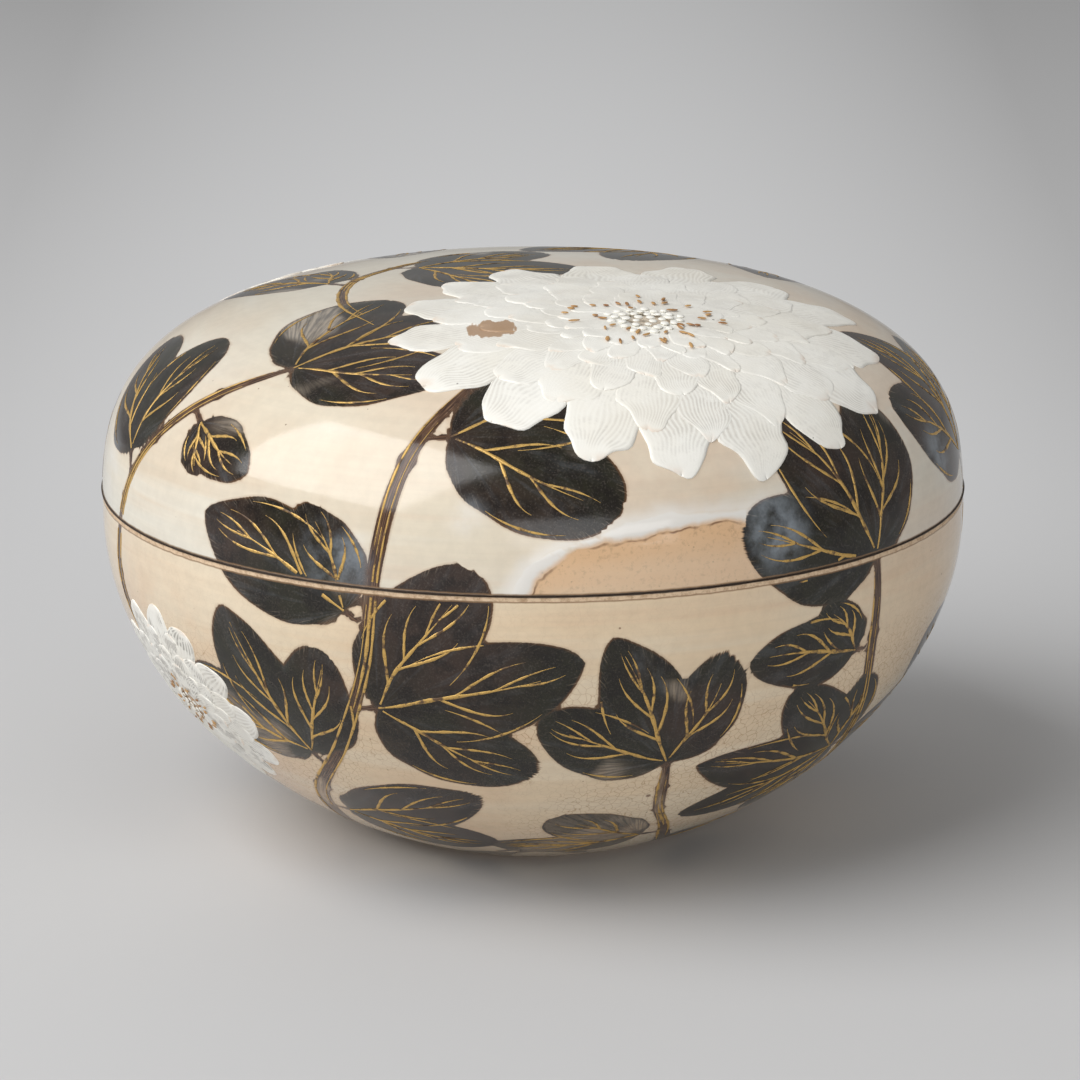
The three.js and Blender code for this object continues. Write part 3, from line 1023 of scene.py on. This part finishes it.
def makeEye(name, flower, number, tree, slip, ochre):
    rng = np.random.default_rng(eye["seed"] + number)
    reach = flower["radius"] * eye["reach"]
    radius = eye["beadRadius"] * relief(flower)
    count = int((reach / (radius * eye["spacing"])) ** 2)
    spiral = np.arange(count) * math.radians(137.5)
    away = reach * np.sqrt((np.arange(count) + 0.5) / count)
    heap = eye["height"] + eye["heap"] * (1 - (away / reach) ** 2)
    sizes = radius * rng.uniform(0.8, 1.1, (count, 1)) * np.array([[1, 1, eye["beadHeight"]]])
    makeLumps(name + "_eye", away, spiral, heap, 0 * spiral, sizes, flower, tree, slip)
    count = int(flower["petals"] * eye["dabs"])
    turn = np.arange(count) * math.tau / count + rng.normal(0, 0.12, count)
    away = flower["radius"] * rng.uniform(eye["reach"] * 0.9, eye["dabReach"], count)
    heights = np.full(count, eye["height"] + eye["heap"])
    long = eye["dabLength"] * relief(flower) * rng.uniform(0.5, 1.1, count)
    wide = eye["dabWidth"] * relief(flower) * rng.uniform(0.8, 1.4, count)
    sizes = np.stack([long, wide, np.full(count, eye["dabHeight"])], 1)
    headings = turn + rng.normal(0, 0.35, count)
    makeLumps(name + "_stamens", away, turn, heights, headings, sizes, flower, tree, ochre)
    print("stage:", name, "eye ready,", count, "ochre dabs")


# Materials. Each starts with its tree, its shader and the object's own coordinates.
def newMaterial(name, ior=1.5):
    material = bpy.data.materials.new(name)
    material.use_nodes = True
    tree = material.node_tree
    shader = tree.nodes["Principled BSDF"]
    shader.inputs["IOR"].default_value = ior
    return tree, shader, put("ShaderNodeTexCoord", tree=tree)["Object"], material


def colourMix(amount, a, b, blend="MIX"):
    inputs = {"Factor": amount, "A": a, "B": b}
    return put("ShaderNodeMix", inputs, data_type="RGBA", blend_type=blend)["Result"]


# Colours laid over one another, each as (how much, colour).
def layered(colour, *layers):
    for amount, tint in layers:
        colour = colourMix(amount, colour, tint)
    return colour


def ramp(value, low, high, toLow=0.0, toHigh=1.0):
    inputs = {0: value, 1: low, 2: high, 3: toLow, 4: toHigh}
    return put("ShaderNodeMapRange", inputs, interpolation_type="SMOOTHSTEP")


def noise(vector, scale, detail=3.0, rough=0.5, warp=0.0):
    inputs = {"Vector": vector, "Scale": scale, "Detail": detail, "Roughness": rough, "Distortion": warp}
    return put("ShaderNodeTexNoise", inputs)["Fac"]


def stretched(vector, *scale):
    return put("ShaderNodeMapping", {"Vector": vector, "Scale": scale}, vector_type="POINT")


def vectorMaths(operation, a, b):
    key = "Scale" if operation == "SCALE" else 1
    return put("ShaderNodeVectorMath", {0: a, key: b}, operation=operation)


# A mesh's own value where the shader is.
def attribute(spot, name, output="Fac"):
    return put("ShaderNodeAttribute", tree=spot.tree, attribute_name=name)[output]


def wander(vector, scale, amount, detail=2.0):
    return (noise(vector, scale, detail) - 0.5) * amount


def bump(height, distance, strength):
    return put("ShaderNodeBump", {"Height": height, "Distance": distance, "Strength": strength})


def inGroup(group, inputs, output):
    return put("ShaderNodeGroup", inputs, node_tree=groups[group])[output]


def specks(spot, cells, size, share):
    return inGroup("specks", {"Vector": spot, "Cells": cells, "Size": size, "Share": share}, "Mask")


def shaderGroup(name, inputs, outputs):
    return newTree(name, "ShaderNodeTree", {"Vector": "Vector", **inputs}, outputs)


# Fine net of craze lines in the glaze.
def crackleGroup():
    tree, given, result = shaderGroup("crackle", {"Cells": 400.0, "Line": 0.05}, {"Mask": "Float"})
    spot = given["Vector"]
    bent = put("ShaderNodeTexNoise", {"Vector": spot, "Scale": 260.0, "Detail": 2.0})["Color"]
    bent = vectorMaths("SCALE", vectorMaths("SUBTRACT", bent, (0.5, 0.5, 0.5)), 0.0018)
    cells = {"Vector": vectorMaths("ADD", spot, bent), "Scale": given["Cells"]}
    edge = put("ShaderNodeTexVoronoi", cells, feature="DISTANCE_TO_EDGE")["Distance"]
    feed(tree, result, {"Mask": ramp(edge, 0.0, given["Line"], 1.0, 0.0)})
    return tree


# Scattered round specks: cells a metre, size as a share of a cell, and the share of cells that hold one.
def speckGroup():
    inputs = {"Cells": 200.0, "Size": 0.1, "Share": 0.1}
    tree, given, result = shaderGroup("specks", inputs, {"Mask": "Float"})
    cells = put("ShaderNodeTexVoronoi", {"Vector": given["Vector"], "Scale": given["Cells"]}, feature="F1")
    apart = put("ShaderNodeSeparateColor", {0: cells["Color"]})
    size = given["Size"] * (apart[1] * 0.8 + 0.4)
    dot = ramp(cells["Distance"], size * 0.5, size, 1.0, 0.0)
    feed(tree, result, {"Mask": dot * apart[0].maths("LESS_THAN", given["Share"])})
    return tree


ground = {
    "cream": (0.765, 0.64, 0.485, 1),
    "blush": (0.725, 0.565, 0.41, 1),
    "pale": (0.795, 0.72, 0.60, 1),
    "peach": (0.715, 0.51, 0.36, 1),
    "tan": (0.74, 0.47, 0.26, 1),
    "milk": (0.82, 0.79, 0.74, 1),
    "milkOnInk": (0.33, 0.37, 0.41, 1),
    "craze": (0.60, 0.48, 0.38, 1),
    "iron": (0.16, 0.075, 0.04, 1),
}


# The cream glaze: peach clouds, pale sweeps that the wheel drew round the pot, and a peach flush where asked.
def creamGroup():
    tree, given, result = shaderGroup("cream glaze", {"Flush": 0.0}, {"Color": "Color"})
    spot = given["Vector"]
    sweeps = noise(stretched(spot, 4.0, 4.0, 80.0), 1.0, 4.0, 0.6)
    broad = noise(stretched(spot, 7.0, 7.0, 24.0), 1.0, 3.0)
    wheel = noise(stretched(spot, 9.0, 9.0, 620.0), 1.0, 3.0, 0.6)
    colour = layered(
        colourMix(ramp(noise(spot, 15.0, 4.0, 0.55, 0.5), 0.34, 0.60), ground["blush"], ground["cream"]),
        (ramp(broad, 0.44, 0.62, 0.0, 0.85), ground["pale"]),
        (ramp(sweeps, 0.50, 0.64, 0.0, 0.55), ground["pale"]),
        (ramp(sweeps, 0.36, 0.47, 0.32, 0.0), ground["peach"]),
        (given["Flush"] * ramp(noise(spot, 42.0, 4.0, 0.6), 0.34, 0.6, 0.1, 0.5), ground["peach"]),
    )
    mottle = ramp(noise(spot, 330.0, 4.0, 0.6), 0.3, 0.7, 0.965, 1.02) * ramp(wheel, 0.36, 0.62, 0.975, 1.01)
    grey = put("ShaderNodeCombineXYZ", {"X": mottle, "Y": mottle, "Z": mottle})
    feed(tree, result, {"Color": colourMix(1.0, colour, grey, "MULTIPLY")})
    return tree


ink = {
    "aubergine": (0.038, 0.023, 0.0165, 1),
    "greenBlack": (0.018, 0.0165, 0.0085, 1),
    "deep": (0.007, 0.0045, 0.0035, 1),
    "wash": (0.080, 0.085, 0.091, 1),
    "speck": (0.15, 0.125, 0.105, 1),
    "brownEdge": (0.13, 0.062, 0.026, 1),
    "wood": (0.042, 0.022, 0.016, 1),
    "lightWood": (0.15, 0.078, 0.042, 1),
}


# Ink as the brush left it: split into bristle marks at the tips, thin and grey in places, brown at the edge.
def inkGroup():
    tree, given, result = shaderGroup(
        "brushed ink",
        {"Brush": "Vector", "Distance": 20.0, "Tone": 0.0, "Tip": 0.0, "Woody": 0.0},
        {"Mask": "Float", "Halo": "Float", "Color": "Color"},
    )
    spot, brush, tip = given["Vector"], given["Brush"], given["Tip"]
    bristle = noise(stretched(brush, 0.09, 1.2, 1.0), 1.0, 3.0, 0.6)
    hair = noise(stretched(brush, 0.14, 4.2, 1.0), 1.0, 2.0, 0.6)
    worn = noise(stretched(brush, 0.05, 0.35, 1.0), 1.0, 4.0, 0.6)
    edge = given["Distance"] + (bristle - 0.5) * (tip * 2.4 + 0.35) + (hair - 0.5) * (tip * 2.2 + 0.12)
    edge = edge + wander(spot, 1500.0, 0.22)
    soft = tip * 0.45 + 0.11
    tone = given["Tone"] + ramp(noise(spot, 27.0, 2.0), 0.54, 0.68, 0.0, 0.6)
    thin = ramp(tone, 0.45, 0.85) * ramp(bristle, 0.36, 0.62, 0.2, 0.62) * ramp(edge, -0.9, -0.15, 1.0, 0.25)
    dry = ramp(hair, 0.56, 0.70) * ramp(edge, -2.6, -0.2, 0.0, 0.5)
    thin = thin.maths("MAXIMUM", dry * (tone + 0.25))

    washed = ramp(worn, 0.48, 0.68) * (tone * 0.85 + 0.22)
    washed = washed.maths("MAXIMUM", ramp(tone, 0.5, 0.8, 0.0, 0.75))
    grain = ramp(noise(spot, 2100.0, 2.0, 0.6), 0.50, 0.72, 0.0, 0.30) * ramp(worn, 0.3, 0.6, 0.35, 1.0)
    colour = layered(
        colourMix(ramp(noise(spot, 24.0), 0.42, 0.58), ink["aubergine"], ink["greenBlack"]),
        (washed, ink["wash"]),
        (ramp(noise(spot, 130.0, 4.0, 0.65), 0.42, 0.64, 0.0, 0.75), ink["deep"]),
        (grain, ink["speck"]),
        (ramp(edge, -0.75, -0.10) * ramp(noise(spot, 90.0), 0.40, 0.60, 0.1, 0.8), ink["brownEdge"]),
        (given["Woody"], colourMix(ramp(hair, 0.42, 0.60), ink["wood"], ink["lightWood"])),
    )
    mask = ramp(edge, soft * -1.0, soft, 1.0, 0.0) * (1.0 - thin)
    feed(tree, result, {"Mask": mask, "Halo": ramp(edge, 0.0, 0.7, 0.4, 0.0), "Color": colour})
    return tree


clay = {
    "light": (0.74, 0.555, 0.375, 1),
    "dark": (0.46, 0.30, 0.18, 1),
    "edge": (0.27, 0.155, 0.075, 1),
    # painted shade: the near-black of the narrow gap between lid and bowl at the seam
    "gap": (0.020, 0.010, 0.006, 1),
}

# The lid and the bowl were fired apart: the bowl is warmer and has more craze lines, most of them low down.
wallFinish = {
    "lid": {"craze": 0.10, "tint": (0.98, 1.045, 1.10, 1)},
    "bowl": {"craze": 0.85, "tint": (1.01, 0.965, 0.885, 1)},
    "crazeTop": 0.074,
    "crazeFull": 0.058,
}


def wallMaterial(body):
    tree, shader, spot, material = newMaterial(body + " glaze", 1.46)
    finish = wallFinish[body]
    glaze = inGroup("cream", {"Vector": spot, "Flush": attribute(spot, "flush")}, "Color")
    glaze = colourMix(1.0, glaze, finish["tint"], "MULTIPLY")

    lines = inGroup("crackle", {"Vector": spot, "Cells": 540.0, "Line": 0.05}, "Mask")
    level = put("ShaderNodeSeparateXYZ", {0: spot})["Z"]
    low = ramp(level, wallFinish["crazeFull"], wallFinish["crazeTop"], 1.0, 0.12) * finish["craze"]
    lines = lines * (ramp(noise(spot, 20.0, 3.0), 0.38, 0.56) * low)
    glaze = colourMix(lines, glaze, ground["craze"], "MULTIPLY")

    patchEdge = attribute(spot, "patchDepth") + wander(spot, 260.0, 2.4)
    grit = noise(spot, 900.0, 4.0, 0.7)
    burnt = specks(spot, 900.0, 0.20, 0.16) * 0.7
    toasted = layered(ground["tan"], (ramp(grit, 0.50, 0.70, 0.0, 0.35), clay["edge"]), (burnt, clay["edge"]))
    milkEdge = attribute(spot, "milkDistance") + wander(spot, 170.0, 3.2)
    fainter = ramp(milkEdge, -0.8, 3.4, 0.75, 0.0) * ramp(patchEdge, -1.5, 0.5, 1.0, 0.0)
    milky = ramp(milkEdge, -1.1, 0.7, 1.0, 0.0).maths("MAXIMUM", fainter)
    under = ramp(milkEdge, 0.25, 0.45) * ramp(milkEdge, 0.6, 1.0, 1.0, 0.0)
    under = under * ramp(noise(spot, 150.0, 3.0), 0.40, 0.60, 0.0, 0.8) * ramp(patchEdge, 0.3, 0.8)
    dots = (specks(spot, 260.0, 0.075, 0.24) * 0.75).maths("MAXIMUM", specks(spot, 75.0, 0.065, 0.12) * 0.8)

    marks = {label: attribute(spot, "ink" + label) for label in ("Distance", "Tone", "Tip", "Woody")}
    marks = {"Vector": spot, "Brush": attribute(spot, "brush", "Vector"), **marks}
    inked = inGroup("ink", marks, "Mask")
    haze = attribute(spot, "milkCloud") * ramp(noise(spot, 120.0, 4.0, 0.6), 0.3, 0.7)
    bareEdge = attribute(spot, "bareDistance") + wander(spot, 300.0, 0.4)
    bare = ramp(bareEdge, -0.12, 0.12, 1.0, 0.0)
    seamShadeEdge = attribute(spot, "seamDistance") + wander(spot, 300.0, 0.3)
    colour = layered(
        glaze,
        (ramp(patchEdge, -0.4, 1.2) * ramp(patchEdge, 2.0, 12.0, 0.92, 0.62), toasted),
        (milky, ground["milk"]),
        (under, ground["iron"]),
        (dots, ground["iron"]),
        (inked["Halo"], clay["dark"]),
        (inked, inked["Color"]),
        (haze, colourMix(inked, ground["milk"], ground["milkOnInk"])),
        (ramp(bareEdge, 0.1, 0.5, 0.85, 0.0), clay["edge"]),
        (bare, colourMix(ramp(noise(spot, 700.0, 5.0, 0.75), 0.30, 0.60), clay["dark"], clay["light"])),
        # painted shade of the gap between lid and bowl, along the seam
        (ramp(seamShadeEdge, 0.20, 0.50, 0.95, 0.0), clay["gap"]),
    )

    gloss = ramp(noise(spot, 60.0, 3.0), 0.3, 0.7, 0.07, 0.12) + inked * 0.03
    rough = put("ShaderNodeMix", {"Factor": bare, "A": gloss, "B": 0.8}, data_type="FLOAT")["Result"]
    height = noise(spot, 55.0, 2.0) * 0.00007
    for value, amount in (
        (noise(spot, 1500.0, 2.0), 0.000014),
        (inked, 0.000012),
        (milky, 0.00006),
        (dots, -0.00006),
        (lines, -0.000012),
        (grit * bare, 0.00025),
    ):
        height = height + value * amount
    feed(tree, shader, {"Base Color": colour, "Roughness": rough, "Normal": bump(height, 1.0, 0.7)})
    return material


gold = {"dark": (0.50, 0.29, 0.075, 1), "light": (0.80, 0.53, 0.17, 1), "worn": (0.12, 0.065, 0.03, 1)}


def goldMaterial():
    tree, shader, spot, material = newMaterial("brushed gold")
    fine = noise(spot, 2600.0, 2.0)
    kept = ramp(noise(spot, 260.0, 4.0, 0.7), 0.37, 0.49) * (1.0 - specks(spot, 2200.0, 0.42, 0.30) * 0.75)
    feed(tree, shader, {
        "Base Color": colourMix(kept, gold["worn"], colourMix(fine, gold["dark"], gold["light"])),
        "Metallic": ramp(kept, 0.0, 1.0, 0.0, 0.45),
        "Roughness": ramp(fine, 0.2, 0.8, 0.32, 0.5),
        "Normal": bump(fine, 0.00006, 0.7),
    })
    return material


slipFinish = {
    "white": (0.945, 0.93, 0.865, 1),
    "cream": (0.91, 0.88, 0.795, 1),
    "bright": (0.955, 0.945, 0.90, 1),
    # painted shade that darkens the beds of the comb grooves
    "groove": (0.50, 0.45, 0.37, 1),
    "soot": (0.10, 0.08, 0.06, 1),
    "pinhole": (0.07, 0.05, 0.035, 1),
    "worn": (0.38, 0.205, 0.085, 1),
    "wornPlace": (-0.010, -0.052, 0.1385),  # where the slip on the lid has rubbed through
    "wornRadius": 0.0062,
}


def slipMaterial():
    tree, shader, spot, material = newMaterial("white slip")
    cut, along = attribute(spot, "cut"), attribute(spot, "along")
    broken = ramp(noise(spot, 380.0, 3.0, 0.6), 0.44, 0.56) * ramp(noise(spot, 75.0, 2.0), 0.42, 0.56)
    thin = ramp(along, 0.93, 1.0) * ramp(noise(spot, 130.0, 3.0), 0.42, 0.62, 0.0, 0.45)
    away = vectorMaths("DISTANCE", spot, slipFinish["wornPlace"])["Value"] - slipFinish["wornRadius"]
    away = away + wander(stretched(spot, 1.0, 0.2, 1.0), 420.0, 0.009, 3.0)
    rubbed = ramp(away, -0.0004, 0.0005, 0.85, 0.0)
    colour = layered(
        slipFinish["cream"],
        (ramp(noise(spot, 45.0, 4.0, 0.6), 0.35, 0.65), slipFinish["white"]),
        (attribute(spot, "tone") * 0.35, slipFinish["bright"]),
        # painted shade in the comb grooves
        (cut * ramp(noise(spot, 60.0, 3.0), 0.40, 0.66, 0.05, 0.42), slipFinish["groove"]),
        (broken * (cut * attribute(spot, "soot")), slipFinish["soot"]),
        (thin, ground["peach"]),
        (specks(spot, 230.0, 0.09, 0.07) * 0.8, slipFinish["pinhole"]),
        (rubbed, slipFinish["worn"]),
    )
    grain = noise(spot, 1500.0, 3.0, 0.6) + noise(spot, 240.0, 3.0) * 3.0
    rough = ramp(noise(spot, 200.0), 0.3, 0.7, 0.30, 0.46)
    feed(tree, shader, {"Base Color": colour, "Roughness": rough, "Normal": bump(grain, 0.00007, 0.6)})
    return material


ochre = {"dark": (0.30, 0.13, 0.045, 1), "light": (0.56, 0.33, 0.13, 1)}


def ochreMaterial():
    tree, shader, spot, material = newMaterial("ochre dabs")
    colour = colourMix(ramp(noise(spot, 330.0, 3.0), 0.35, 0.62), ochre["dark"], ochre["light"])
    feed(tree, shader, {"Base Color": colour, "Roughness": ramp(noise(spot, 500.0), 0.3, 0.7, 0.35, 0.55)})
    return material


bareClay = {
    "lidEdge": 0.0003,  # above the seam
    "bore": 0.006,  # in from the wall
    "recess": 0.001,  # above the foot's recess and in from the foot's outside
    "deep": -0.002,  # what counts as well inside the bare clay, and as far from it
    "far": 0.01,
    "lip": 0.0013,  # below the seam
    "boreTop": 0.002,  # above the collar
    "collarDepth": 0.003,  # below the collar's top, inside
    "foot": 0.0014,
    "seamBand": 0.0009,  # how far in from the wall the painted shade of the seam reaches
}


# Where the clay is bare, in metres from its edge, negative on bare clay.
def bareDistance(points, outside, body):
    z, r = points[:, 2], np.hypot(points[:, 0], points[:, 1])
    seam, collarTop, far = form["seam"], form["collarTop"], bareClay["far"]
    if body == "lid":
        inner = np.where(r > seamRadius - bareClay["bore"], z - collarTop - bareClay["boreTop"], far)
        return np.where(outside, z - seam - bareClay["lidEdge"], inner)
    collar = np.where(r > collarInner - 0.0004, seam - z, collarTop - bareClay["collarDepth"] - z)
    reach = bareClay["recess"]
    under = (z < form["footRecess"] + reach) & (r < form["footRadius"] - reach) & ~outside
    edges = np.minimum(np.where(outside, seam - bareClay["lip"] - z, collar), z - bareClay["foot"])
    return np.minimum(edges, np.where(under, bareClay["deep"], far))


# A wall with what its material reads at each point, in millimetres where it is a distance.
def makeWall(body, section):
    obj = turned(body + "_glazed", section, wallMaterial(body))
    points = pointsOf(obj.data)
    on, normals = ontoWall(np.where(np.abs(points) < 1e-9, 1e-7, points))
    outside = lengths(points - on) < 5e-5
    milky = milkValues(on, outside)
    # Points on the outer wall near the seam carry the painted shade of the gap between lid and bowl.
    edge = np.hypot(points[:, 0], points[:, 1]) > seamRadius - bareClay["seamBand"]
    setValues(obj.data, {
        **inkValues(points, on, normals, outside),
        **flushValues(on, outside),
        **milky,
        "bareDistance": bareDistance(points, outside, body) * 1000,
        "seamDistance": np.where(edge, np.abs(points[:, 2] - form["seam"]), 0.005) * 1000,
    })
    swell = milk["rise"] * (1 - smooth(-0.002, 0.0006, milky["milkDistance"][outside] / 1000))
    points[outside] += normals[outside] * (unevenAt(on[outside]) + swell)[:, None]
    movePoints(obj.data, points)
    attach(obj, body)
    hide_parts(body)
    print("stage:", obj.name, len(obj.data.polygons), "faces")


groups = {"crackle": crackleGroup(), "specks": speckGroup(), "cream": creamGroup(), "ink": inkGroup()}
print("stage:", len(groups), "shader groups ready")
makeWall("lid", lidSection())
makeWall("bowl", bowlSection())
slip, dabs = slipMaterial(), ochreMaterial()
petalTree, lumps = flowerTree(), lumpTree()
for number, (name, flower) in enumerate(flowers.items()):
    makeFlower(name, flower, number, petalTree, slip)
    makeEye(name, flower, number, lumps, slip, dabs)
makeGoldLines(goldMaterial())


# Camera and lens as the photograph was taken: a long lens, a little above the box.
camera = {
    "distance": 0.9,
    "elevation": 15.66,  # degrees above level
    "aimHeight": 0.0712,
    "aimAcross": 0.0018,
    "lens": 116.5,
    "sensor": 36,
}


def makeCamera():
    data = bpy.data.cameras.new("camera")
    data.lens, data.sensor_width = camera["lens"], camera["sensor"]
    obj = inScene("camera", data)
    tilt = math.radians(camera["elevation"])
    aim = Vector((camera["aimAcross"], 0, camera["aimHeight"]))
    obj.location = aim + Vector((0, -math.cos(tilt), math.sin(tilt))) * camera["distance"]
    obj.rotation_euler = (math.pi / 2 - tilt, 0, 0)
    bpy.context.scene.camera = obj


# Grey paper floor. Behind the box the camera sees it lit up in the middle, without any light coming off it.
floor = {
    "corners": [(-4, -3, 0), (4, -3, 0), (4, 5, 0), (-4, 5, 0)],
    "colour": (0.60, 0.60, 0.605, 1),
    "rough": 0.9,
    "lit": (0.140, 0.142, 0.144, 1),
    "from": -0.04,  # where the glow starts, in metres behind the box, and where it is full
    "to": 0.45,
    "halfWidth": 0.13,  # of the glow, and what it gains for each metre from the camera
    "fan": 0.075,
}


def makeStage():
    sheet = meshObject("floor", floor["corners"], (), [(0, 1, 2, 3)])
    tree, shader, spot, material = newMaterial("paper floor")
    apart = put("ShaderNodeSeparateXYZ", {0: spot})
    behind = (apart["Y"] + camera["distance"]).maths("MAXIMUM", 0.1)
    fan = apart["X"] / (behind * floor["fan"] + floor["halfWidth"])
    lit = (1.0 - fan * fan).maths("MAXIMUM", 0.0) * ramp(apart["Y"], floor["from"], floor["to"])
    feed(tree, shader, {
        "Base Color": floor["colour"],
        "Roughness": floor["rough"],
        "Emission Color": colourMix(lit, (0, 0, 0, 1), floor["lit"]),
        "Emission Strength": put("ShaderNodeLightPath", tree=tree)["Is Camera Ray"],
    })
    sheet.data.materials.append(material)


# Each lamp is a soft box that faces the pot: azimuth, elevation, distance, width and height, watts.
lamps = {
    "soft key": (208, 46, 2.4, (2.30, 1.88), 57),
    "soft fill": (285, 14, 1.6, (1.2, 0.5), 4.4),
}


def makeLight(name, azimuth, elevation, distance, size, power):
    data = bpy.data.lights.new(name, "AREA")
    data.shape = "RECTANGLE"
    data.size, data.size_y = size
    data.energy = power
    lamp = inScene(name, data)
    turn, tilt = math.radians(azimuth), math.radians(elevation)
    way = Vector((math.cos(turn) * math.cos(tilt), math.sin(turn) * math.cos(tilt), math.sin(tilt)))
    lamp.location = Vector((0, 0, form["belly"])) + way * distance
    lamp.rotation_euler = way.to_track_quat("Z", "Y").to_euler()


# Faint even light from all round.
sky = {"colour": (1.0, 0.995, 0.985, 1), "strength": 0.31}


def makeSky():
    world = bpy.data.worlds.new("studio")
    world.use_nodes = True
    background = world.node_tree.nodes["Background"]
    background.inputs["Color"].default_value = sky["colour"]
    background.inputs["Strength"].default_value = sky["strength"]
    bpy.context.scene.world = world


makeStage()
makeCamera()
for name, lamp in lamps.items():
    makeLight(name, *lamp)
makeSky()
bpy.context.scene.view_settings.view_transform = "Standard"
print("stage: floor, camera, sky and", len(lamps), "lamps ready")
